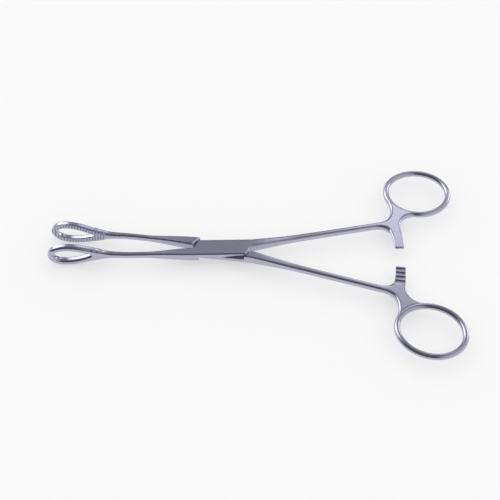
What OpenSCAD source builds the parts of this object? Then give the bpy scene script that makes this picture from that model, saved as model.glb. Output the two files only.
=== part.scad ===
// Sponge holding forceps with fenestrated oval jaws, a lap joint and a ratchet between the finger rings.
// Both halves are the same forging: the lower one is the upper one turned over about the long axis.
// Each half is drawn shut, with its jaw on -Y and its ring on +Y, and then swung open about the pivot.

/* [Opening] */
// Angle between the two halves as they lie, in degrees
rest_opening = 9.1; // [0:0.1:20]

/* [Lap joint] */
// Length of the joint between the crotches of the shanks
lock_length = 28.4; // [24:0.1:34]
// Width of the joint across the flats
lock_width = 10; // [8:0.1:11]
// Thickness of the joint, both plates together
lock_thickness = 4.5; // [3.8:0.1:6]
// Slant of the shoulders, in degrees from the long axis
shoulder_slant = 60; // [50:1:75]
// Rounding along the edges of the joint
lock_edge = 0.7; // [0.3:0.05:1]
// Gap between the two lapped faces
lap_gap = 0.06; // [0.02:0.01:0.2]
// Gap between a plate and the shoulder beside it when shut
shoulder_gap = 0.14; // [0.08:0.02:0.4]

/* [Rivet] */
// Diameter of the rivet's shank
rivet_diameter = 4; // [3:0.1:5]
// Diameter of its countersunk heads
head_diameter = 5.4; // [5.2:0.1:6.4]
// Depth of a head
head_depth = 0.9; // [0.5:0.05:1.4]
// Radial clearance in the half that turns on it
running_clearance = 0.04; // [0.02:0.01:0.1]
// Radial clearance in the half that holds it
seat_clearance = 0.01; // [0.005:0.005:0.02]

/* [Jaws] */
// Distance from the pivot to the tips of the jaws
jaw_reach = 84.5; // [78:0.5:100]
// Length of the loop that makes a jaw
jaw_length = 24.5; // [21:0.5:28]
// Width of a jaw across its loop
jaw_width = 12.6; // [10:0.1:15]
// Width of the rim round the window
rim_width = 2.9; // [2.2:0.1:3.4]
// Thickness of a jaw behind its gripping face
jaw_thickness = 3.2; // [2.6:0.1:3.6]
// Gap between the two gripping faces when shut
jaw_gap = 0.1; // [0.06:0.02:0.4]
// Distance between the serrations
serration_pitch = 1.4; // [1:0.1:2.4]
// Depth of the serrations
serration_depth = 0.35; // [0.15:0.05:0.5]

/* [Jaw shanks] */
// Distance of a shut jaw's shank from the long axis
shank_offset = 2.6; // [2.4:0.1:3.4]
// Width of the shank behind the jaw
shank_width = 2.5; // [2.4:0.1:3.6]
// Height of the shank behind the jaw
shank_height = 2.8; // [2.6:0.1:4.2]

/* [Handle shanks] */
// Angle of a handle shank to the long axis when shut
handle_angle = 10.5; // [8:0.5:13]
// Width of the handle shank at its thin end
handle_width = 2.9; // [2.6:0.1:4]
// Height of the handle shank, the neck and the web at the ring
handle_height = 3; // [2.8:0.1:4]
// Rounding along the shanks
shank_edge = 0.9; // [0.4:0.05:1.1]

/* [Ratchet] */
// Distance from the pivot to the middle of the rack
rack_distance = 88; // [80:0.5:96]
// Width of the rack
rack_width = 4.9; // [4:0.1:6]
// How far each rack reaches past the long axis when shut
rack_overlap = 1.5; // [1:0.1:3]
// Number of teeth
tooth_count = 4; // [2:1:4]
// Distance between the teeth
tooth_pitch = 2.65; // [1.6:0.05:2.7]
// Depth of the teeth
tooth_depth = 0.75; // [0.4:0.05:0.9]
// Gap between the tooth tips of the two racks
tooth_gap = 0.12; // [0.06:0.02:0.4]

/* [Rings] */
// Distance from the rack's middle line to the ring's centre, along the forceps
ring_ahead = 14.7; // [12:0.1:18]
// Distance from the long axis to the ring's centre when shut
ring_aside = 37; // [34:0.2:42]
// Long width of the ring, outside
ring_long = 35.4; // [32:0.2:40]
// Short width of the ring, outside
ring_short = 32.6; // [29:0.2:36]
// Turn of the ring's long width away from the long axis, in degrees
ring_turn = 12.5; // [0:0.5:25]
// Thickness of the ring's wire
ring_wire = 3; // [2.6:0.1:3.8]

/* [Hidden] */

steel = [0.74, 0.74, 0.80];
$fn = 72;
corner_points = 4;
jaw_points = 16;
jaw_steps = 44;
ring_points = 14;
ring_steps = 56;
web_steps = 12;
flare_steps = 6;
fillet_steps = 5;
beyond = 30;

half_length = lock_length / 2;
half_width = lock_width / 2;
half_thickness = lock_thickness / 2;

// Window-shaped middle line of the rim: pointed at the throat, blunt at the tip.
loop_reach = (jaw_length - rim_width / 2) / 2;
loop_middle = -jaw_reach + rim_width / 2 + loop_reach;
// The curve sin(f) sin(f / 2) is this high at its widest.
curve_peak = 0.77;
loop_rise = (jaw_width - rim_width) / 2 / curve_peak;
throat = loop_middle + loop_reach;
// How deep behind the gripping face the rim is widest, as a share, and how round its gripping edges are.
rim_belly = 0.45;
rim_roundness = 0.55;
// The rim is this much wider outside at the throat, and starts this far round, inside the palm.
throat_fill = 1;
first_turn = 34;
into_window = 3.2;
fill_run = 8;
palm_run = 16;
serrated_palm = 3;
// Lengths of the jaw shank's bend and of the handle shank's slope down from the joint.
bend_run = 24;
slope_run = 24;
into_joint = 1.2;
// A bar's end lies this far inside the bar that it runs into.
sunk = 0.03;
// How far the joint's full section runs on past the crotches.
bar_end = 0.3;

// The handle shank leaves the middle of its root and ends on the rack's middle line.
root = [half_length, half_width / 2];
handle_run = (rack_distance - root.x) / cos(handle_angle);
handle_way = [cos(handle_angle), sin(handle_angle)];
junction = root + handle_run * handle_way;
// The handle shank's end opens with these radii, towards the neck and towards the rack.
flare_inside = 9;
flare_outside = 5.5;
ring_centre = [rack_distance + ring_ahead, ring_aside];
wire = ring_wire / 2;
rack_left = rack_distance - rack_width / 2;
rack_right = rack_distance + rack_width / 2;
neck_start = junction.y - 5;
// Where the web's two edges meet the ring, counted round it from its far end.
left_turn = 186;
right_turn = 250;
// Where the edges start, and how far each holds its first and its last direction.
left_foot = [rack_left + 0.8, junction.y + 1.6];
right_foot = [rack_right + 0.2, junction.y - 2.4];
left_hold = [5, 6];
right_hold = [4.6, 5.5];
foot_lean = 0.2;
// The web's edges end this deep in the wire, and the hole's rim keeps this share of it clear of the web.
into_wire = 0.15;
hole_share = 0.4;
// Flat land at the rack's tip, and the part of a tooth's pitch that its ramp takes.
tip_land = 0.7;
ramp_share = 0.9;
rack_corner = 0.8;
// The fillet between the rack and the handle shank: how wide, and from where to where.
rack_fillet = 2;
fillet_start = 5 - rack_overlap;
fillet_end = neck_start + 2;
// How far a cutting shape reaches past what it cuts.
margin = 1;

function signed_power(v, e) = sign(v) * pow(abs(v), e);
function flare(run, radius) = radius - sqrt(max(0, radius * radius - pow(max(0, run), 2)));
function bezier(p, t) =
    pow(1 - t, 3) * p[0] + 3 * t * pow(1 - t, 2) * p[1] + 3 * t * t * (1 - t) * p[2] + pow(t, 3) * p[3];
function mix(a, b, t) = a + (b - a) * t;
function ease(t) = t * t * (3 - 2 * t);

// A bar's section: a rectangle from -right to left and from -height / 2 to height / 2, with round corners.
function bar_section(left, right, height, edge) = [
    for (corner = [0:3], i = [0:corner_points - 1])
        let (
            a = 90 * corner + 90 * i / (corner_points - 1),
            across = (corner == 0 || corner == 3) ? left - edge : edge - right,
            up = (corner < 2 ? 1 : -1) * (height / 2 - edge)
        )
        [across + edge * cos(a), up + edge * sin(a)]
];

// Sets a section upright at a point of the plan, square to a direction.
function placed(section, at, direction) = [
    for (p = section)
        [at.x - p.x * sin(direction), at.y + p.x * cos(direction), p.y]
];

// Skins a row of equal sections. A closed row joins its last section to its first.
module skin(rows, closed = false) {
    count = len(rows);
    m = len(rows[0]);
    sides = [
        for (i = [0:closed ? count - 1 : count - 2], j = [0:m - 1])
            let (
                a = i * m + j,
                b = i * m + (j + 1) % m,
                c = ((i + 1) % count) * m + (j + 1) % m,
                d = ((i + 1) % count) * m + j
            )
            each [[a, c, b], [a, d, c]]
    ];
    ends = closed ? [] : [
        [for (j = [0:m - 1]) j],
        [for (j = [m - 1:-1:0]) (count - 1) * m + j]
    ];
    polyhedron([for (row = rows) each row], concat(sides, ends));
}

// The jaw: a rim swept round the window, flat on its gripping side and domed behind.
function loop_point(f) = [loop_middle + loop_reach * cos(f), loop_rise * sin(f) * sin(f / 2)];
function loop_normal(f) =
    let (d = loop_point(f + 0.5) - loop_point(f - 0.5))
    [d.y, -d.x] / norm(d);
function rim_row(f) =
    let (at = loop_point(f), out = loop_normal(f))
    [
        for (i = [0:jaw_points - 1])
            let (
                a = 360 * i / jaw_points,
                reach = rim_width / 2 + (cos(a) > 0 ? throat_fill * pow(max(0, cos(f)), 2) : 0),
                across = reach * (sin(a) >= 0 ? cos(a) : signed_power(cos(a), rim_roundness)),
                dome = mix(rim_belly, 1, sin(a)),
                deep = sin(a) >= 0 ? dome : rim_belly * (1 - pow(-sin(a), rim_roundness))
            )
            [at.x + across * out.x, -jaw_gap / 2 - jaw_thickness * deep, at.y + across * out.y]
    ];
module jaw_rim() {
    skin([for (i = [0:jaw_steps]) rim_row(mix(360 - first_turn, first_turn, i / jaw_steps))]);
}

// Half the jaw's height round the throat, where the two sides of the rim run together.
function palm_rise(x) =
    let (f = acos(min(1, (x - loop_middle) / loop_reach)), away = max(0, min(1, (x - throat) / fill_run)))
    mix(loop_point(f).y + rim_width / 2 + throat_fill * pow(cos(f), 2), shank_height / 2, ease(away));

// From the joint's root along the jaw shank and over the palm to the start of the window.
module jaw_shank() {
    palm_end = throat - into_window;
    palm_start = throat + palm_run;
    shank_start = -half_length + into_joint;
    bend_end = shank_start - bend_run;
    shank_rows = [
        for (t = [0, 0.06, 0.25, 0.5, 0.75, 1])
            let (x = mix(shank_start, bend_end, t), k = ease(t))
            placed(
                bar_section(
                    mix(half_width / 2 - sunk, shank_width / 2, k),
                    mix(half_width / 2 - sunk, shank_width / 2, k),
                    mix(lock_thickness - 2 * sunk, shank_height, pow(t, 1.4)),
                    mix(lock_edge, shank_edge, k)
                ),
                [x, -mix(half_width / 2, shank_offset, k)], 0
            )
    ];
    palm_rows = [
        for (t = [0:0.0625:1])
            let (
                x = mix(palm_start, palm_end, t),
                k = ease(t),
                inner = mix(shank_offset - shank_width / 2, jaw_gap / 2, k),
                outer = mix(shank_offset + shank_width / 2, jaw_gap / 2 + jaw_thickness, k)
            )
            placed(bar_section((outer - inner) / 2, (outer - inner) / 2, 2 * palm_rise(x), shank_edge),
                [x, -(inner + outer) / 2], 0)
    ];
    rows = concat(shank_rows, palm_rows);
    skin([for (i = [len(rows) - 1:-1:0]) rows[i]]);
}

// The gripping face's transverse V grooves, from the tip to the end of the palm.
module serrations() {
    groove_count = floor((jaw_length + serrated_palm) / serration_pitch);
    face = -jaw_gap / 2;
    linear_extrude(jaw_width + 2 * margin, center = true)
        polygon(concat(
            [[-jaw_reach - margin, margin], [-jaw_reach - margin, face]],
            [
                for (i = [0:groove_count - 1])
                    each [
                        [-jaw_reach + i * serration_pitch, face],
                        [-jaw_reach + (i + 0.5) * serration_pitch, face - serration_depth]
                    ]
            ],
            [
                [-jaw_reach + groove_count * serration_pitch, face],
                [-jaw_reach + groove_count * serration_pitch, margin]
            ]
        ));
}

// The handle shank, opening like a trumpet where it meets the rack and the neck.
module handle_shank() {
    straight = handle_run - flare_inside;
    rows = concat(
        [
            for (t = [0, 0.04, 0.08, 0.13, 0.2, 0.3, 0.45, 0.7, 1])
                let (
                    run = mix(-into_joint, straight, t),
                    narrowing = 1 - pow(1 - t, 4),
                    lowering = ease(max(0, min(1, run / slope_run))),
                    wide = mix(half_width / 2 - sunk, handle_width / 2, narrowing),
                    high = mix(lock_thickness - 2 * sunk, handle_height, lowering),
                    edge = mix(lock_edge, shank_edge, narrowing)
                )
                placed(bar_section(wide, wide, high, edge), root + run * handle_way, handle_angle)
        ],
        [
            for (i = [1:flare_steps])
                let (
                    run = straight + flare_inside * sin(80 * i / flare_steps),
                    inside = flare(run - straight, flare_inside),
                    outside = flare(run - handle_run + flare_outside, flare_outside)
                )
                placed(bar_section(handle_width / 2 + outside, handle_width / 2 + inside, handle_height, shank_edge),
                    root + run * handle_way, handle_angle)
        ]
    );
    skin(rows);
}

// A point of the ring, some way outside its wire's middle line.
function ring_point(f, out) =
    let (
        across = (ring_long / 2 - wire + out) * cos(f),
        up = (ring_short / 2 - wire + out) * sin(f)
    )
    ring_centre + [across * cos(ring_turn) - up * sin(ring_turn), across * sin(ring_turn) + up * cos(ring_turn)];
function ring_heading(f) =
    let (d = ring_point(f + 0.5, 0) - ring_point(f - 0.5, 0))
    d / norm(d);
module finger_ring() {
    skin([
        for (i = [0:ring_steps - 1])
            let (f = 360 * i / ring_steps, at = ring_point(f, 0), heading = ring_heading(f))
            [
                for (j = [0:ring_points - 1])
                    let (a = -360 * j / ring_points, out = wire * cos(a))
                    [at.x + out * heading.y, at.y - out * heading.x, wire * sin(a)]
            ]
    ], closed = true);
}

// The neck, widening to a web whose two edges run into the ring's outside.
module neck_and_web() {
    left_end = ring_point(left_turn, wire - into_wire);
    right_end = ring_point(right_turn, wire - into_wire);
    left_edge = [
        left_foot, left_foot + [foot_lean, left_hold[0]], left_end + left_hold[1] * ring_heading(left_turn), left_end
    ];
    right_edge = [
        right_foot, right_foot + [foot_lean, right_hold[0]],
        right_end - right_hold[1] * ring_heading(right_turn), right_end
    ];
    edges = concat(
        [[[rack_left, neck_start], [rack_right, neck_start]]],
        [for (i = [0:web_steps]) [bezier(left_edge, i / web_steps), bezier(right_edge, i / web_steps)]]
    );
    rows = [
        for (e = edges)
            let (across = e[0] - e[1], direction = atan2(-across.x, across.y), wide = norm(across) / 2)
            placed(bar_section(wide, wide, handle_height - 2 * sunk, shank_edge), (e[0] + e[1]) / 2, direction)
    ];
    difference() {
        skin(rows);
        linear_extrude(lock_thickness, center = true)
            polygon([for (i = [0:ring_steps - 1]) ring_point(360 * i / ring_steps, -wire * hole_share)]);
    }
}

// The rack: a flat bar above the middle plane, with saw teeth below that lock against opening.
module rack() {
    crest = tooth_gap / 2;
    top = handle_height / 2 - sunk;
    ramp = tooth_pitch * ramp_share;
    tip = -rack_overlap;
    difference() {
        translate([0, 0, crest])
            linear_extrude(top - crest)
                polygon(concat(
                    [
                        for (i = [fillet_steps:-1:0])
                            let (k = i / fillet_steps)
                            [rack_left - rack_fillet * k * k, mix(fillet_start, fillet_end, k)]
                    ],
                    [[rack_left, tip + rack_corner]],
                    [
                        for (a = [195:15:255])
                            [rack_left + rack_corner * (1 + cos(a)), tip + rack_corner * (1 + sin(a))]
                    ],
                    [[rack_left + rack_corner, tip], [rack_right - rack_corner, tip]],
                    [
                        for (a = [285:15:345])
                            [rack_right - rack_corner * (1 - cos(a)), tip + rack_corner * (1 + sin(a))]
                    ],
                    [[rack_right, tip + rack_corner], [rack_right, fillet_end]]
                ));
        for (i = [0:tooth_count - 1])
            translate([rack_left - rack_fillet - margin, tip + tip_land + i * tooth_pitch, crest])
                rotate([90, 0, 90])
                    linear_extrude(rack_width + rack_fillet + 2 * margin)
                        polygon([[0, -margin], [ramp, -margin], [ramp, 0], [0, tooth_depth]]);
    }
}

// Clears the level below the rack for the other half's rack, up to the foot of the neck.
module rack_level_cut() {
    run = neck_start + rack_overlap + margin;
    translate([rack_left - flare_inside, neck_start - run, tooth_gap / 2 - lock_thickness])
        cube([rack_width + flare_inside + 2 * margin, run, lock_thickness]);
}

// The joint's bar before it is cut to a plate: flat faces and rounded edges.
module lock_bar() {
    section = bar_section(half_width, half_width, lock_thickness, lock_edge);
    translate([-half_length - bar_end, 0, 0])
        rotate([90, 0, 90])
            linear_extrude(lock_length + 2 * bar_end)
                polygon(section);
}

// What the other half's plate takes from the lower level, between this half's two shoulders.
module lower_level_cut() {
    slide = shoulder_gap / 2 / sin(shoulder_slant);
    slope = 1 / tan(shoulder_slant);
    foot = half_length - slide;
    far = 2 * half_width;
    edge = [foot, shoulder_gap / 2];
    outer = [foot - far * slope, far];
    translate([0, 0, lap_gap / 2 - beyond])
        linear_extrude(beyond)
            polygon([
                [-outer.x, -outer.y], [-edge.x - 2 * slide, -edge.y], [-beyond, -edge.y], [-beyond, far],
                [outer.x + 2 * slide, outer.y], [edge.x + 2 * slide, edge.y], [beyond, edge.y], [beyond, -far]
            ]);
}

// What the other half's root takes from the upper level, left of the joint or right of it.
module upper_level_cut() {
    slide = shoulder_gap / 2 / sin(shoulder_slant);
    slope = 1 / tan(shoulder_slant);
    foot = half_length - slide;
    far = 2 * half_width;
    for (turn = [0, 180])
        rotate([0, 0, turn])
            translate([0, 0, -lap_gap / 2])
                linear_extrude(beyond)
                    polygon([[-foot, -shoulder_gap / 2], [-beyond, -shoulder_gap / 2], [-beyond, far],
                        [-foot + (far + shoulder_gap / 2) * slope, far]]);
}

// One half as it is forged and milled, shut, with its bore still to be drilled.
module forging() {
    difference() {
        union() {
            lock_bar();
            jaw_shank();
            handle_shank();
        }
        lower_level_cut();
        upper_level_cut();
        rack_level_cut();
    }
    difference() {
        jaw_rim();
        serrations();
    }
    neck_and_web();
    finger_ring();
    rack();
}

// The rivet's outline turned about the pivot, grown all round by a clearance.
module rivet_shape(clearance) {
    shank = rivet_diameter / 2 + clearance;
    head = head_diameter / 2 + clearance;
    lip = half_thickness + (clearance > 0 ? margin : 0);
    rotate_extrude()
        polygon([
            [0, -lip], [head, -lip], [head, -half_thickness], [shank, -half_thickness + head_depth],
            [shank, half_thickness - head_depth], [head, half_thickness], [head, lip], [0, lip]
        ]);
}

module upper_half() {
    color(steel)
        translate([0, 0, half_thickness])
            rotate([0, 0, rest_opening / 2])
                difference() {
                    forging();
                    rivet_shape(seat_clearance);
                }
}

module lower_half() {
    color(steel)
        translate([0, 0, half_thickness])
            rotate([0, 0, -rest_opening / 2])
                difference() {
                    rotate([180, 0, 0])
                        forging();
                    rivet_shape(running_clearance);
                }
}

module pivot_rivet() {
    color(steel)
        translate([0, 0, half_thickness])
            rivet_shape(0);
}

upper_half();
lower_half();
pivot_rivet();
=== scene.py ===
import math

import bpy
import numpy as np
from mathutils import Matrix, Vector


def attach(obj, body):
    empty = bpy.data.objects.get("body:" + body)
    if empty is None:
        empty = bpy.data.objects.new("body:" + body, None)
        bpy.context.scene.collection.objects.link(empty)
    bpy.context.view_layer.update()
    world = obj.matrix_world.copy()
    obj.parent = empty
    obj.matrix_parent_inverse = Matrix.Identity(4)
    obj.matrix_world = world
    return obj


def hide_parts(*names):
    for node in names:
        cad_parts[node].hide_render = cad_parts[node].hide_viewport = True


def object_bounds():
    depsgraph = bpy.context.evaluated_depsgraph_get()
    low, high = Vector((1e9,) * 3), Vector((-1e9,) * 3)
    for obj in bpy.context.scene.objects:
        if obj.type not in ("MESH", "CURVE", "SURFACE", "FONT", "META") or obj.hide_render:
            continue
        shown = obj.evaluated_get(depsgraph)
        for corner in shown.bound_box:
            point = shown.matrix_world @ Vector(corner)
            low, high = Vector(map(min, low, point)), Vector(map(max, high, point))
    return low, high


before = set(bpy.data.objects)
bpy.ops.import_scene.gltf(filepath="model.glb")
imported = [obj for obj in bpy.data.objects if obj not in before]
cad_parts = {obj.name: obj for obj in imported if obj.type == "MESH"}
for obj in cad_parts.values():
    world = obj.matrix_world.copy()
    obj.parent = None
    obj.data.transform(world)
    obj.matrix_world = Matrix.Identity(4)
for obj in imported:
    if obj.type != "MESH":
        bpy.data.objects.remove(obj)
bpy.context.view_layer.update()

mm = 0.001

# Everything about the forging is in millimetres, with the pivot at the origin and
# z = 0 on the plane where the two plates meet. It is drawn shut, jaw on -Y, ring on +Y.
joint = {
    "halfLength": 14.2,
    "halfWidth": 5.0,
    "halfThickness": 2.25,
    "edge": 0.7,
    "slant": 60.0,
    "lapGap": 0.06,
    "shoulderGap": 0.14,
    "opening": 9.1,
    "bevel": 0.45,
}
grid = {
    "step": 0.25,
    "low": (-87.0, -6.5, -8.0),
    "high": (121.5, 57.0, 8.0),
    "far": 9.0,
}


def hexToLinear(code):
    # sRGB hex to the linear colour that Blender's sockets take
    parts = [int(code[i:i + 2], 16) / 255 for i in (1, 3, 5)]
    return [c / 12.92 if c <= 0.04045 else ((c + 0.055) / 1.055) ** 2.4 for c in parts] + [1.0]


def mix(a, b, t):
    return a + (b - a) * t


def ease(t):
    t = np.clip(t, 0, 1)
    return t * t * (3 - 2 * t)


def bezier(points, t):
    t = np.asarray(t)[:, None]
    p = [np.array(q, float) for q in points]
    return (1 - t) ** 3 * p[0] + 3 * t * (1 - t) ** 2 * p[1] + 3 * t * t * (1 - t) * p[2] + t ** 3 * p[3]


# The forging is a field of distances on a grid, so that its parts flow into each
# other as drop-forged and polished steel does.
counts = [int(round((b - a) / grid["step"])) + 1 for a, b in zip(grid["low"], grid["high"])]
axes = [grid["low"][i] + grid["step"] * np.arange(counts[i]) for i in range(3)]
field = np.full(counts, grid["far"], np.float32)


def region(low, high):
    # The part of the grid between two corners, and its coordinates ready to broadcast
    cut, spans = [], []
    for i in range(3):
        a = int(np.searchsorted(axes[i], low[i]))
        b = int(np.searchsorted(axes[i], high[i]))
        cut.append(slice(a, b))
        shape = [1, 1, 1]
        shape[i] = -1
        spans.append(axes[i][a:b].reshape(shape))
    return tuple(cut), spans


def add(cut, shape, flow):
    # Joins a shape to the field with a fillet about as large as flow
    old = field[cut]
    h = np.clip(flow - np.abs(old - shape), 0, None) / flow
    field[cut] = np.minimum(old, shape) - h * h * flow / 4


def roundedBox(p, q, halfP, halfQ, edge):
    # Distance to a rounded rectangle in the plane of p and q
    a = np.abs(p) - (halfP - edge)
    b = np.abs(q) - (halfQ - edge)
    return np.hypot(np.maximum(a, 0), np.maximum(b, 0)) + np.minimum(np.maximum(a, b), 0) - edge


def nearPath(path, px, py, closed=False):
    # Distance from points to a line of points, its side, and how far along it each lies
    best = np.full(np.broadcast(px, py).shape, 1e9)
    side = np.ones_like(best)
    place = np.zeros_like(best)
    last = len(path) if closed else len(path) - 1
    for i in range(last):
        a, b = path[i], path[(i + 1) % len(path)]
        d = b - a
        t = np.clip(((px - a[0]) * d[0] + (py - a[1]) * d[1]) / (d @ d), 0, 1)
        dx, dy = px - a[0] - t * d[0], py - a[1] - t * d[1]
        away = np.hypot(dx, dy)
        nearer = away < best
        best = np.where(nearer, away, best)
        side = np.where(nearer, np.sign(d[0] * dy - d[1] * dx), side)
        place = np.where(nearer, i + t, place)
    return best, side, place


def insidePolygon(path, px, py):
    inside = np.zeros(np.broadcast(px, py).shape, bool)
    for a, b in zip(path, np.roll(path, -1, 0)):
        if a[1] == b[1]:
            continue
        crosses = (a[1] > py) != (b[1] > py)
        inside ^= crosses & (px < (b[0] - a[0]) * (py - a[1]) / (b[1] - a[1]) + a[0])
    return inside


def polygonField(path, px, py):
    away = nearPath(path, px, py, closed=True)[0]
    return np.where(insidePolygon(path, px, py), -away, away)


# Jaw: a rim round a window, flat on its gripping side and domed behind.
jaw = {
    "reach": 84.45,
    "length": 24.5,
    "width": 12.58,
    "rim": 2.9,
    "thickness": 3.2,
    "gap": 0.1,
    "throatFill": 1.0,
    "gripEdge": 0.5,
    "backEdge": 1.4,
    "serrationPitch": 1.4,
    "serrationDepth": 0.42,
    "serrationLand": 0.35,
}
loopReach = (jaw["length"] - jaw["rim"] / 2) / 2
loopMiddle = -jaw["reach"] + jaw["rim"] / 2 + loopReach
loopRise = (jaw["width"] - jaw["rim"]) / 2 / 0.77
throat = loopMiddle + loopReach


def loopPoints(f):
    return np.stack([loopMiddle + loopReach * np.cos(f), loopRise * np.sin(f) * np.sin(f / 2)], -1)


def addJaw():
    cut, (x, y, z) = region((-86.5, -6, -7.6), (-56, 2, 7.6))
    turns = np.radians(np.linspace(6, 354, 260))
    away, side, place = nearPath(loopPoints(turns), x, z)
    f = np.interp(place, np.arange(len(turns)), turns)
    out = np.where(side > 0, -1, 1) * away
    fill = jaw["throatFill"] * np.maximum(0, np.cos(f)) ** 2
    deep = -y - jaw["gap"] / 2 - jaw["thickness"] / 2
    across = np.abs(out - fill / 2)
    wide = jaw["rim"] / 2 + fill / 2
    edge = np.where(deep < 0, jaw["gripEdge"], jaw["backEdge"])
    a = across - (wide - edge)
    b = np.abs(deep) - (jaw["thickness"] / 2 - edge)
    rim = np.hypot(np.maximum(a, 0), np.maximum(b, 0)) + np.minimum(np.maximum(a, b), 0) - edge
    add(cut, rim, 0.5)


# Jaw shank and palm: sections along the long axis.
shank = {
    "offset": 2.6,
    "width": 2.5,
    "height": 2.8,
    "edge": 0.9,
    "palmRun": 16.0,
    "bendRun": 24.0,
    "fillRun": 8.0,
    "throatRise": 0.25,
    "throatSlope": -0.33,
    "intoWindow": 3.0,
    "intoJoint": 1.2,
    "slopeRun": 24.0,
}


def palmRise(x):
    f = np.arccos(np.clip((x - loopMiddle) / loopReach, -1, 1))
    rim = loopRise * np.sin(f) * np.sin(f / 2) + jaw["rim"] / 2 + jaw["throatFill"] * np.cos(f) ** 2
    # Past the throat the rim's slope runs out into the shank, with no corner between them.
    t = np.clip((x - throat) / shank["fillRun"], 0, 1)
    start = rim + shank["throatRise"] * ease((x - throat) / 1.5 + 1)
    return mix(start, shank["height"] / 2, ease(t)) + shank["fillRun"] * shank["throatSlope"] * t * (1 - t) ** 2


def addJawShank():
    start = -joint["halfLength"] + shank["intoJoint"]
    bendEnd = start - shank["bendRun"]
    palmStart = throat + shank["palmRun"]
    palmEnd = throat - shank["intoWindow"]
    cut, (x, y, z) = region((palmEnd - 2, -6.5, -6), (start + 1.5, 3, 6))
    bend = ease((start - x) / (start - bendEnd))
    palm = ease((palmStart - x) / (palmStart - palmEnd))
    half = mix(joint["halfWidth"] / 2, shank["width"] / 2, bend)
    middle = mix(joint["halfWidth"] / 2, shank["offset"], bend)
    tall = mix(joint["halfThickness"], shank["height"] / 2, np.clip((start - x) / (start - bendEnd), 0, 1) ** 1.4)
    inner = mix(middle - half, jaw["gap"] / 2, palm)
    outer = mix(middle + half, jaw["gap"] / 2 + jaw["thickness"], palm)
    tall = np.where(x < throat + shank["fillRun"], palmRise(x), tall)
    edge = mix(joint["edge"], shank["edge"], bend)
    bar = roundedBox(y + (inner + outer) / 2, z, (outer - inner) / 2, tall, edge)
    bar = np.maximum(bar, np.maximum(palmEnd - x, x - start))
    add(cut, bar, 0.6)


def addJointBar():
    reach = joint["halfLength"] + 0.3
    cut, (x, y, z) = region((-reach - 1.5, -6.5, -4), (reach + 1.5, 6.5, 4))
    bar = roundedBox(y, z, joint["halfWidth"], joint["halfThickness"], joint["edge"])
    add(cut, np.maximum(bar, np.abs(x) - reach), 0.01)


# Handle: shank, neck and web share one plan, which is then given its height.
handle = {
    "angle": 10.5,
    "width": 2.9,
    "height": 3.0,
    "edge": 0.9,
    "innerFillet": 9.0,
    "outerFillet": 6.5,
    "roundRun": 7.0,
}
rack = {
    "distance": 88.0,
    "width": 4.9,
    "overlap": 1.5,
    "corner": 0.8,
    "teeth": 4,
    "pitch": 2.65,
    "depth": 0.75,
    "gap": 0.12,
    "land": 0.7,
    "fillet": 2.0,
    "edge": 0.45,
}
ring = {
    "centre": (102.7, 37.0),
    "long": 35.37,
    "short": 32.6,
    "turn": 12.5,
    "wire": 3.0,
    "webLeft": 186.0,
    "webRight": 250.0,
    "flow": 0.01,
}
root = np.array([joint["halfLength"], joint["halfWidth"] / 2])
way = np.array([math.cos(math.radians(handle["angle"])), math.sin(math.radians(handle["angle"]))])
handleRun = (rack["distance"] - root[0]) / way[0]
junction = root + handleRun * way
rackLeft = rack["distance"] - rack["width"] / 2
rackRight = rack["distance"] + rack["width"] / 2
neckStart = junction[1] - 5


def ringPoint(degrees, out):
    f = np.radians(degrees)
    turn = math.radians(ring["turn"])
    across = (ring["long"] / 2 - ring["wire"] / 2 + out) * np.cos(f)
    up = (ring["short"] / 2 - ring["wire"] / 2 + out) * np.sin(f)
    return np.stack([
        ring["centre"][0] + across * math.cos(turn) - up * math.sin(turn),
        ring["centre"][1] + across * math.sin(turn) + up * math.cos(turn),
    ], -1)


def ringHeading(degrees):
    d = ringPoint(degrees + 0.5, 0) - ringPoint(degrees - 0.5, 0)
    return d / np.linalg.norm(d)


def webOutline():
    # The neck's two edges, which curve out into the ring's outside
    wire = ring["wire"] / 2
    leftFoot = np.array([rackLeft + 0.8, junction[1] + 1.6])
    rightFoot = np.array([rackRight + 0.2, junction[1] - 2.4])
    leftEnd = ringPoint(ring["webLeft"], wire - 0.15)
    rightEnd = ringPoint(ring["webRight"], wire - 0.15)
    t = np.linspace(0, 1, 24)
    left = bezier([leftFoot, leftFoot + [0.2, 5], leftEnd + 6 * ringHeading(ring["webLeft"]), leftEnd], t)
    right = bezier([rightFoot, rightFoot + [0.2, 4.6], rightEnd - 5.5 * ringHeading(ring["webRight"]), rightEnd], t)
    inside = ringPoint(np.linspace(ring["webLeft"] + 8, ring["webRight"] - 8, 12), -0.3)
    return np.concatenate([[[rackLeft, neckStart]], left, inside, right[::-1], [[rackRight, neckStart]]])


def extruded(plan, z, halfHeight, edge):
    a = plan + edge
    b = np.abs(z) - (halfHeight - edge)
    return np.hypot(np.maximum(a, 0), np.maximum(b, 0)) + np.minimum(np.maximum(a, b), 0) - edge


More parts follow.
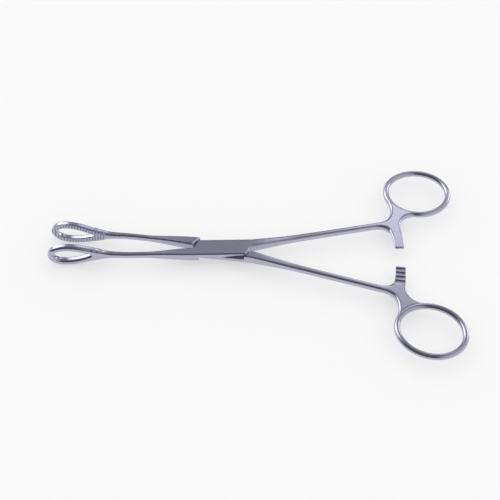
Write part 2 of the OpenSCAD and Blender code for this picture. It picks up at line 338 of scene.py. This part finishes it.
def addHandle():
    cut, (x, y, z) = region((root[0] - 3, -5, -3.5), (120, 56, 3.5))
    along = (x - root[0]) * way[0] + (y - root[1]) * way[1]
    across = -(x - root[0]) * way[1] + (y - root[1]) * way[0]
    run = handleRun - handle["innerFillet"]
    t = np.clip((along + shank["intoJoint"]) / (run + shank["intoJoint"]), 0, 1)
    narrowing = 1 - (1 - t) ** 4
    lowering = ease(along / shank["slopeRun"])
    half = mix(joint["halfWidth"] / 2, handle["width"] / 2, narrowing)
    tall = mix(joint["halfThickness"], handle["height"] / 2, lowering)
    edge = mix(joint["edge"], handle["edge"], narrowing)
    bar = np.maximum(np.abs(across) - half, np.maximum(-shank["intoJoint"] - along, along - handleRun))
    web = polygonField(webOutline(), x, y)
    fillet = np.where(across < 0, handle["innerFillet"], handle["outerFillet"])
    h = np.clip(fillet - np.abs(bar - web), 0, None) / fillet
    h = h * ease((rack["distance"] + 2 - x) / 2)
    plan = np.minimum(bar, web) - h * h * fillet / 4
    # Towards the ring the web's edges grow as round as the ring's wire.
    path = ringPoint(np.linspace(0, 360, 120, endpoint=False), 0)
    toRing = nearPath(path, x, y, closed=True)[0]
    edge = mix(edge, ring["wire"] / 2 - 0.05, ease((handle["roundRun"] - toRing) / handle["roundRun"]) * (y > junction[1] - 2))
    add(cut, extruded(plan, z, tall, edge), 0.01)


def addRack():
    cut, (x, y, z) = region((rackLeft - 5, -4, -2), (rackRight + 2, neckStart + 4, 3))
    steps = np.linspace(1, 0, 8)
    start, end = -rack["overlap"] + 5, neckStart + 2
    tip, c = -rack["overlap"], rack["corner"]
    corner = np.radians(np.linspace(0, 90, 7))
    outline = [[rackLeft - rack["fillet"] * k * k, mix(start, end, k)] for k in steps]
    outline += [[rackLeft + c - c * math.cos(a), tip + c - c * math.sin(a)] for a in corner]
    outline += [[rackRight - c + c * math.sin(a), tip + c - c * math.cos(a)] for a in corner]
    outline += [[rackRight, end]]
    plan = polygonField(np.array(outline), x, y)
    low, high = rack["gap"] / 2, handle["height"] / 2
    edge = mix(rack["edge"], handle["edge"], ease((y - neckStart + 5) / 5))
    bar = np.maximum(extruded(plan, z, high, edge), low - z)
    add(cut, bar, 0.01)


def addRing():
    cut, (x, y, z) = region((80, 16, -3), (121, 56.5, 3))
    away = nearPath(ringPoint(np.linspace(0, 360, 240, endpoint=False), 0), x, y, closed=True)[0]
    add(cut, np.hypot(away, z) - ring["wire"] / 2, ring["flow"])


def surfaceOf(values, low, step):
    # One vertex in each cell that the surface crosses, one face for each grid edge that it crosses
    inside = values < 0
    shape = [n - 1 for n in values.shape]
    corners = [(i, j, k) for i in (0, 1) for j in (0, 1) for k in (0, 1)]
    tally = np.zeros(shape, np.uint8)
    for i, j, k in corners:
        tally += inside[i:i + shape[0], j:j + shape[1], k:k + shape[2]]
    cells = np.argwhere((tally > 0) & (tally < 8))
    at = [values[cells[:, 0] + i, cells[:, 1] + j, cells[:, 2] + k] for i, j, k in corners]
    total = np.zeros((len(cells), 3))
    found = np.zeros(len(cells))
    for a in range(8):
        for b in range(a + 1, 8):
            ca, cb = np.array(corners[a]), np.array(corners[b])
            if np.abs(ca - cb).sum() != 1:
                continue
            crosses = (at[a] < 0) != (at[b] < 0)
            t = np.where(crosses, at[a] / np.where(crosses, at[a] - at[b], 1), 0)
            total += np.where(crosses[:, None], ca + t[:, None] * (cb - ca), 0)
            found += crosses
    points = np.array(low) + (cells + total / found[:, None]) * step
    number = np.full(shape, -1, np.int32)
    number[tuple(cells.T)] = np.arange(len(cells))
    faces = []
    for axis in range(3):
        u, v = (axis + 1) % 3, (axis + 2) % 3
        first = [slice(1, -1)] * 3
        second = [slice(1, -1)] * 3
        first[axis] = slice(0, -1)
        second[axis] = slice(1, None)
        starts, ends = inside[tuple(first)], inside[tuple(second)]
        spot = np.argwhere(starts != ends)
        outward = starts[tuple(spot.T)]
        spot[:, u] += 1
        spot[:, v] += 1
        ring4 = []
        for du, dv in ((1, 1), (0, 1), (0, 0), (1, 0)):
            c = spot.copy()
            c[:, u] -= du
            c[:, v] -= dv
            ring4.append(number[tuple(c.T)])
        quad = np.stack(ring4, 1)
        quad[~outward] = quad[~outward][:, ::-1]
        faces.append(quad)
    return points, np.concatenate(faces)


def relax(points, faces, amounts):
    # Evens the grid's stairs out; each step outwards undoes the shrinking of the step before it
    a = faces.ravel()
    b = np.roll(faces, -1, 1).ravel()
    for amount in amounts:
        total = np.zeros_like(points)
        count = np.zeros(len(points))
        for p, q in ((a, b), (b, a)):
            for i in range(3):
                total[:, i] += np.bincount(p, points[q, i], len(points))
            count += np.bincount(p, minlength=len(points))
        points = mix(points, total / count[:, None], amount)
    return points


def makeObject(name, points, faces):
    data = bpy.data.meshes.new(name)
    data.from_pydata(np.asarray(points).tolist(), [], [list(map(int, f)) for f in faces])
    data.update()
    thing = bpy.data.objects.new(name, data)
    bpy.context.scene.collection.objects.link(thing)
    return thing


def prismMesh(outline, low, high):
    # A straight prism on a plan, as points and faces
    n = len(outline)
    area = sum(a[0] * b[1] - b[0] * a[1] for a, b in zip(outline, outline[1:] + outline[:1]))
    if area < 0:
        outline = outline[::-1]
    points = [(p[0], p[1], z) for z in (low, high) for p in outline]
    faces = [list(range(n - 1, -1, -1)), list(range(n, 2 * n))]
    faces += [[i, (i + 1) % n, n + (i + 1) % n, n + i] for i in range(n)]
    return points, faces


def carve(thing, cutters):
    # Cuts prisms out one after the other, and leaves a plain mesh
    for k, (points, faces) in enumerate(cutters):
        tool = makeObject(f"cutter{k}", points, faces)
        mod = thing.modifiers.new("cut", "BOOLEAN")
        mod.operation = "DIFFERENCE"
        mod.solver = "EXACT"
        mod.object = tool
        deps = bpy.context.evaluated_depsgraph_get()
        done = bpy.data.meshes.new_from_object(thing.evaluated_get(deps))
        thing.modifiers.clear()
        old = thing.data
        thing.data = done
        bpy.data.meshes.remove(old)
        bpy.data.objects.remove(tool)


def levelCutters():
    # What milling takes away for the other half's plate and shoulders
    slide = joint["shoulderGap"] / 2 / math.sin(math.radians(joint["slant"]))
    slope = 1 / math.tan(math.radians(joint["slant"]))
    foot = joint["halfLength"] - slide
    far, beyond = 2 * joint["halfWidth"], 30
    g = joint["shoulderGap"] / 2
    edge = (foot, g)
    outer = (foot - far * slope, far)
    lower = [
        (-outer[0], -outer[1]), (-edge[0] - 2 * slide, -edge[1]), (-beyond, -edge[1]), (-beyond, far),
        (outer[0] + 2 * slide, outer[1]), (edge[0] + 2 * slide, edge[1]), (beyond, edge[1]), (beyond, -far),
    ]
    cutters = [prismMesh(lower, joint["lapGap"] / 2 - beyond, joint["lapGap"] / 2)]
    upper = [(-foot, -g), (-beyond, -g), (-beyond, far), (-foot + (far + g) * slope, far)]
    for sign in (1, -1):
        turned = [(sign * px, sign * py) for px, py in upper]
        cutters.append(prismMesh(turned, -joint["lapGap"] / 2, beyond))
    return cutters


def sideways(outline, low, high):
    # The same prism stood on edge: the outline lies in y and z, and runs along x
    points, faces = prismMesh(outline, low, high)
    return [(z, x, y) for x, y, z in points], faces


def rackCutters():
    # Room below the rack for the other rack, and saw teeth that lock against opening
    crest, tip = rack["gap"] / 2, -rack["overlap"]
    low, high = rackLeft - handle["innerFillet"], rackRight + 2
    under = [(tip - 1, crest - 5), (neckStart, crest - 5), (neckStart, crest), (tip - 1, crest)]
    cutters = [sideways(under, low, high)]
    for i in range(rack["teeth"]):
        y = tip + rack["land"] + i * rack["pitch"]
        tooth = [(y, crest - 1), (y + 0.9 * rack["pitch"], crest - 1), (y + 0.9 * rack["pitch"], crest), (y, crest + rack["depth"])]
        cutters.append(sideways(tooth, rackLeft - rack["fillet"] - 1, high))
    return cutters


def serrationCutter():
    # Fine cross grooves over the gripping face, as one toothed prism
    face = -jaw["gap"] / 2
    count = int((jaw["length"] + 3) / jaw["serrationPitch"])
    outline = [(-jaw["reach"] - 1, 1), (-jaw["reach"] - 1, face)]
    for i in range(count):
        x = -jaw["reach"] + i * jaw["serrationPitch"]
        groove = (1 - jaw["serrationLand"]) * jaw["serrationPitch"]
        outline += [(x, face), (x + groove / 2, face - jaw["serrationDepth"]), (x + groove, face)]
    x = -jaw["reach"] + count * jaw["serrationPitch"]
    outline += [(x, face), (x, 1)]
    return prismMesh(outline, -jaw["width"], jaw["width"])


def bevelCutters():
    # A narrow bevel along each slanted shoulder: on the plate's ends above, on the roots below
    slant = math.radians(joint["slant"])
    slide = joint["shoulderGap"] / 2 / math.sin(slant)
    foot, g = joint["halfLength"] - slide, joint["shoulderGap"] / 2
    c, s = math.cos(slant), math.sin(slant)
    t, b, m = joint["halfThickness"], joint["bevel"], 1.0
    cutters = []
    for turn in (1, -1):
        for side, start, way, out in ((1, (foot, g), (-c, -s), (s, -c)), (-1, (foot + 2 * slide, g), (-c, s), (-s, -c))):
            section = [(-b - m, side * (t + m)), (m, side * (t - b - m)), (m, side * (t + m))]
            if side < 0:
                section = section[::-1]
            points = [(turn * (start[0] + way[0] * run + out[0] * u), turn * (start[1] + way[1] * run + out[1] * u), z)
                      for run in (0, 9) for u, z in section]
            faces = [[2, 1, 0], [3, 4, 5]] + [[i, (i + 1) % 3, 3 + (i + 1) % 3, 3 + i] for i in range(3)]
            cutters.append((points, faces))
    return cutters


rivet = {"radius": 2.0, "head": 2.7, "depth": 0.9, "clearance": 0.03, "sides": 64}


def rivetCutter():
    # The countersunk hole, turned round the pivot
    r, head, t = rivet["radius"] + rivet["clearance"], rivet["head"] + rivet["clearance"], joint["halfThickness"]
    profile = [(head, -t - 1), (head, -t), (r, -t + rivet["depth"]), (r, t - rivet["depth"]), (head, t), (head, t + 1)]
    n = rivet["sides"]
    turns = [2 * math.pi * i / n for i in range(n)]
    points = [(q * math.cos(a), q * math.sin(a), z) for q, z in profile for a in turns]
    faces = [list(range(n - 1, -1, -1)), [(len(profile) - 1) * n + i for i in range(n)]]
    for k in range(len(profile) - 1):
        faces += [[k * n + i, k * n + (i + 1) % n, (k + 1) * n + (i + 1) % n, (k + 1) * n + i] for i in range(n)]
    return points, faces


field[:] = grid["far"]
addJaw()
addJawShank()
addJointBar()
addHandle()
addRack()
addRing()
print("scene: the forging's field is set")
forgingPoints, forgingFaces = surfaceOf(field, grid["low"], grid["step"])
forgingPoints = relax(forgingPoints, forgingFaces, [0.5, 0.5] + [0.5, -0.53] * 6)
print("scene: the forging has", len(forgingFaces), "faces")
forging = makeObject("forging", forgingPoints, forgingFaces)
carve(forging, levelCutters() + bevelCutters() + rackCutters() + [serrationCutter(), rivetCutter()])
print("scene: the joint is milled,", len(forging.data.polygons), "faces")


# The lapped faces and the teeth keep their milled finish, in a colour painted a little lighter to lift the dark lap
# strip.
def isMilled(face):
    x, y, z = face.center
    lapped = abs(z) < joint["lapGap"] and abs(face.normal.z) > 0.99 and abs(x) < joint["halfLength"] + 1
    flank = -0.98 < face.normal.z < -0.92 or abs(face.normal.y) > 0.99
    tooth = (flank and rackLeft - rack["fillet"] < x < rackRight and rack["land"] - rack["overlap"] - 0.1 < y < neckStart
             and z < rack["gap"] / 2 + rack["depth"])
    return lapped or tooth


milledFaces = [face.index for face in forging.data.polygons if isMilled(face)]
print("scene: milled faces", len(milledFaces))


def placeHalf(name, node, body, turnedOver, swing):
    data = forging.data.copy()
    half = bpy.data.objects.new(name, data)
    bpy.context.scene.collection.objects.link(half)
    place = Matrix.Translation((0, 0, joint["halfThickness"])) @ Matrix.Rotation(math.radians(swing), 4, "Z")
    if turnedOver:
        place = place @ Matrix.Rotation(math.pi, 4, "X")
    data.transform(Matrix.Scale(mm, 4) @ place)
    data.shade_smooth()
    data.set_sharp_from_angle(angle=math.radians(38))
    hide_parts(node)
    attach(half, body)
    return half


upperHalf = placeHalf("upper_half_forging", "upper_half", "upper", False, joint["opening"] / 2)
lowerHalf = placeHalf("lower_half_forging", "lower_half", "lower", True, -joint["opening"] / 2)
bpy.data.objects.remove(forging)


def addNode(tree, kind, links=(), **settings):
    # One node with its settings; links are (socket, source socket) pairs
    node = tree.nodes.new(kind)
    for key, value in settings.items():
        if key.startswith("in_"):
            node.inputs[key[3:].replace("_", " ")].default_value = value
        else:
            setattr(node, key, value)
    for socket, source in links:
        tree.links.new(node.inputs[socket], source)
    return node


def stainless(name, colour, roughness):
    finish = {"colour": colour, "roughness": roughness, "grainMm": 1.2, "spread": 0.04, "waveMm": 5.0, "waveHeight": 0.012}
    material = bpy.data.materials.new(name)
    material.use_nodes = True
    tree = material.node_tree
    tree.nodes.clear()
    coords = addNode(tree, "ShaderNodeTexCoord")
    grain = addNode(tree, "ShaderNodeTexNoise", [("Vector", coords.outputs["Object"])],
                    in_Scale=1 / (finish["grainMm"] * mm), in_Detail=3.0)
    rough = addNode(tree, "ShaderNodeMapRange", [("Value", grain.outputs["Fac"])],
                    in_To_Min=finish["roughness"] - finish["spread"], in_To_Max=finish["roughness"] + finish["spread"])
    wave = addNode(tree, "ShaderNodeTexNoise", [("Vector", coords.outputs["Object"])],
                   in_Scale=1 / (finish["waveMm"] * mm), in_Detail=1.0)
    relief = addNode(tree, "ShaderNodeBump", [("Height", wave.outputs["Fac"])],
                     in_Strength=1.0, in_Distance=finish["waveHeight"] * mm)
    shader = addNode(tree, "ShaderNodeBsdfPrincipled",
                     [("Roughness", rough.outputs["Result"]), ("Normal", relief.outputs["Normal"])],
                     in_Base_Color=hexToLinear(finish["colour"]), in_Metallic=1.0)
    addNode(tree, "ShaderNodeOutputMaterial", [("Surface", shader.outputs["BSDF"])])
    return material


# Martensitic stainless steel, forged, tumbled and glass-bead polished to a satin finish: a cool
# grey with broad soft highlights, and polish so slightly uneven that long reflections waver.
satin = stainless("satin_stainless_steel", "#b9b9cb", 0.2)
# The same steel as the milling cutter left it on the lap and the teeth: flat and more matt.
# Its colour is painted a little lighter than the satin steel: painted light that lifts the lap strip, dark in front of
# the upper plate's edge.
milled = stainless("milled_steel_painted_lighter", "#c2c2d1", 0.45)
for thing in (upperHalf, lowerHalf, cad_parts["pivot_rivet"]):
    thing.data.materials.clear()
    thing.data.materials.append(satin)
# The lap and teeth get the milled steel, whose lighter colour is painted light on the lap strip.
for half in (upperHalf, lowerHalf):
    half.data.materials.append(milled)
    for i in milledFaces:
        half.data.polygons[i].material_index = 1
print("scene: materials are on")

# Studio: pale floor, white surround for the camera, plain light from soft boxes.
studio = {"floor": "#f6f6f7", "reach": 3.0, "drop": 0.00005, "surround": 1.0, "lit": 0.4}
low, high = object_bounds()
floorHeight = low.z - studio["drop"]
r = studio["reach"]
floor = makeObject("floor", [(-r, -r, floorHeight), (r, -r, floorHeight), (r, r, floorHeight), (-r, r, floorHeight)], [[0, 1, 2, 3]])


def floorPaint():
    material = bpy.data.materials.new("pale_sweep")
    material.use_nodes = True
    tree = material.node_tree
    tree.nodes.clear()
    cloth = addNode(tree, "ShaderNodeBsdfPrincipled", in_Base_Color=hexToLinear(studio["floor"]), in_Roughness=0.9)
    # The sweep glows evenly for the camera and in reflections, which lightens the shadow on it.
    rays = addNode(tree, "ShaderNodeLightPath")
    seen = addNode(tree, "ShaderNodeMath", [(0, rays.outputs["Is Camera Ray"]), (1, rays.outputs["Is Glossy Ray"])], operation="ADD")
    seen = addNode(tree, "ShaderNodeMath", [(0, seen.outputs["Value"]), (1, rays.outputs["Is Transmission Ray"])],
                   operation="ADD", use_clamp=True)
    share = addNode(tree, "ShaderNodeMapRange", [("Value", seen.outputs["Value"])], in_To_Max=studio["lit"])
    glow = addNode(tree, "ShaderNodeEmission", in_Color=(1, 1, 1, 1), in_Strength=1.0)
    both = addNode(tree, "ShaderNodeMixShader", [(0, share.outputs["Result"]), (1, cloth.outputs["BSDF"]), (2, glow.outputs["Emission"])])
    addNode(tree, "ShaderNodeOutputMaterial", [("Surface", both.outputs["Shader"])])
    return material


floor.data.materials.append(floorPaint())

world = bpy.data.worlds.new("surround")
bpy.context.scene.world = world
world.use_nodes = True
world.node_tree.nodes["Background"].inputs["Color"].default_value = (1, 1, 1, 1)
world.node_tree.nodes["Background"].inputs["Strength"].default_value = studio["surround"]

# A cloth tent stands round the forceps out of the camera's sight: grey behind, light at the
# sides, darker where the camera stands. Only the metal's reflections meet it.
tent = {
    "radius": 1.6,
    "tint": (1.0, 0.985, 1.05),
    "back": [(0.0, 0.20), (0.12, 0.10), (0.36, 0.12), (0.60, 0.34), (0.76, 0.39), (0.84, 0.32), (0.92, 0.14), (1.0, 0.22)],
    "backRight": [(0.0, 0.80), (0.10, 0.40), (0.30, 0.40), (0.46, 1.0), (0.60, 1.55), (0.69, 1.85), (0.72, 1.30), (0.75, 0.62), (0.80, 0.45), (1.0, 0.22)],
    "front": [(0.0, 0.35), (0.08, 0.14), (0.16, 0.07), (0.58, 0.07), (0.68, 0.20), (0.78, 0.20), (0.86, 0.08), (0.95, 0.10), (1.0, 0.24)],
    "frontRight": [(0.0, 0.60), (0.20, 0.45), (0.60, 0.65), (0.80, 0.75), (0.95, 0.40), (1.0, 0.24)],
    "backFar": [(0.0, 0.20), (0.12, 0.10), (0.36, 0.12), (0.60, 0.34), (0.76, 0.39), (0.84, 0.32), (0.92, 0.14), (1.0, 0.22)],
    "left": [(0.0, 0.45), (0.20, 0.65), (0.45, 1.20), (0.60, 2.20), (0.80, 2.20), (0.90, 0.60), (1.0, 0.25)],
    "side": [(0.0, 0.55), (0.20, 0.80), (0.60, 0.85), (0.75, 0.75), (0.90, 0.50), (1.0, 0.18)],
    "spans": [("back", "backRight", "X", 0.08, 0.17), ("back", "backFar", "X", 0.18, 0.42), ("back", "left", "X", -0.15, -0.36),
              ("front", "frontRight", "X", 0.22, 0.5), ("back", "front", "Y", 0.35, 0.0), ("back", "side", "X", 0.5, 0.85)],
}


def tentCloth():
    material = bpy.data.materials.new("tent_cloth")
    material.use_nodes = True
    tree = material.node_tree
    tree.nodes.clear()
    coords = addNode(tree, "ShaderNodeTexCoord")
    way = addNode(tree, "ShaderNodeVectorMath", [(0, coords.outputs["Object"])], operation="NORMALIZE")
    parts = addNode(tree, "ShaderNodeSeparateXYZ", [("Vector", way.outputs["Vector"])])
    levels = {}
    for part in ("back", "backRight", "backFar", "left", "front", "frontRight", "side"):
        ramp = addNode(tree, "ShaderNodeValToRGB", [("Fac", parts.outputs["Z"])])
        stops = ramp.color_ramp.elements
        while len(stops) > 1:
            stops.remove(stops[-1])
        for k, (at, level) in enumerate(tent[part]):
            stop = stops[0] if k == 0 else stops.new(at)
            stop.position = at
            stop.color = [level * c for c in tent["tint"]] + [1]
        levels[part] = ramp.outputs["Color"]
    for base, other, axis, near, far in tent["spans"]:
        share = addNode(tree, "ShaderNodeMapRange", [("Value", parts.outputs[axis])], interpolation_type="SMOOTHSTEP",
                        in_From_Min=near, in_From_Max=far)
        joined = addNode(tree, "ShaderNodeMix", [(0, share.outputs["Result"]), (6, levels[base]), (7, levels[other])],
                         data_type="RGBA")
        levels[base] = joined.outputs[2]
    glow = addNode(tree, "ShaderNodeEmission", [("Color", levels["back"])])
    addNode(tree, "ShaderNodeOutputMaterial", [("Surface", glow.outputs["Emission"])])
    return material


def tentMesh():
    rows, turns = 24, 48
    points, faces = [], []
    for i in range(rows + 1):
        rise = math.pi / 2 * i / rows
        for k in range(turns):
            a = 2 * math.pi * k / turns
            points.append((tent["radius"] * math.cos(rise) * math.cos(a), tent["radius"] * math.cos(rise) * math.sin(a),
                           tent["radius"] * math.sin(rise)))
    for i in range(rows):
        for k in range(turns):
            j = (k + 1) % turns
            faces.append([i * turns + k, (i + 1) * turns + k, (i + 1) * turns + j, i * turns + j])
    return points, faces


tentDome = makeObject("tent", *tentMesh())
tentDome.data.materials.append(tentCloth())
for ray in ("camera", "diffuse", "transmission", "volume_scatter", "shadow"):
    setattr(tentDome, "visible_" + ray, False)


def softBox(name, spot, aim, width, height, level):
    # A lamp panel whose brightness is the same from wherever it is seen
    data = bpy.data.lights.new(name, "AREA")
    data.shape = "RECTANGLE"
    data.size = width
    data.size_y = height
    data.energy = level * math.pi * width * height
    lamp = bpy.data.objects.new(name, data)
    lamp.location = spot
    lamp.rotation_euler = (Vector(aim) - Vector(spot)).to_track_quat("-Z", "Y").to_euler()
    lamp.visible_diffuse = False
    bpy.context.scene.collection.objects.link(lamp)
    return lamp


softBox("left_panel", (-0.75, 0.65, 0.42), (0, 0, 0), 0.45, 0.28, 3.0)
softBox("right_panel", (0.85, 0.65, 0.42), (0, 0, 0), 0.45, 0.28, 3.0)
print("scene: studio is lit")

# Camera: fitted to the photograph's outline, in millimetres.
lens = {
    "elevation": 48.0,
    "azimuth": -1.8805,
    "roll": 3.9657,
    "distance": 570.37,
    "target": (14.0887, 0.3854),
    "focalPixels": 1162.21,
    "imagePixels": 500,
    "sensor": 36.0,
    "shift": 0.001,
}
e, a, tilt = (math.radians(lens[k]) for k in ("elevation", "azimuth", "roll"))
back = Vector((math.sin(a) * math.cos(e), -math.cos(a) * math.cos(e), math.sin(e)))
right = Vector((math.cos(a), math.sin(a), 0))
up = back.cross(right)
turnedRight = math.cos(tilt) * right + math.sin(tilt) * up
turnedUp = -math.sin(tilt) * right + math.cos(tilt) * up
eye = Vector((lens["target"][0], lens["target"][1], joint["halfThickness"])) + back * lens["distance"]
cameraData = bpy.data.cameras.new("camera")
cameraData.sensor_width = lens["sensor"]
cameraData.lens = lens["focalPixels"] * lens["sensor"] / lens["imagePixels"]
cameraData.shift_x = -lens["shift"]
cameraData.shift_y = lens["shift"]
cameraData.clip_start = 0.01
camera = bpy.data.objects.new("camera", cameraData)
camera.matrix_world = Matrix.Translation(eye * mm) @ Matrix((turnedRight, turnedUp, back)).transposed().to_4x4()
bpy.context.scene.collection.objects.link(camera)
bpy.context.scene.camera = camera

bpy.context.scene.view_settings.view_transform = "Standard"
